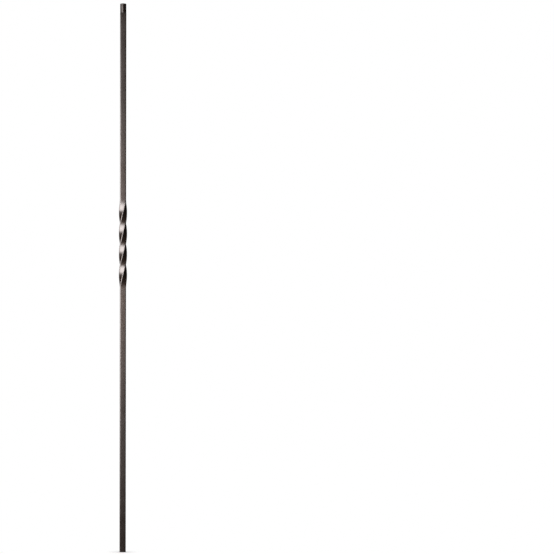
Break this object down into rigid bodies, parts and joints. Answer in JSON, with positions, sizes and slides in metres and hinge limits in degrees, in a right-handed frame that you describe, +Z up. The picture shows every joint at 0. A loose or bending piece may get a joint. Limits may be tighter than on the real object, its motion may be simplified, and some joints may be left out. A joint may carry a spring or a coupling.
{
  "type": "stair baluster",
  "caption": "Slim square iron stair baluster with a twisted stretch above its middle, a plain square foot for the tread and a turned round dowel for the handrail.",
  "frame": {"origin": "centre of the flat face of the foot", "axes": "+Z up the bar, from the foot to the dowel; X and Y square to the flats of the bar; -Y is the side that the picture shows"},
  "size_m": [0.0166, 0.0166, 1.1176],
  "materials": {
    "black_coat": "satin black powder coat"
  },
  "bodies": {
    "root": {"baluster": "black_coat"}
  },
  "joints": []
}
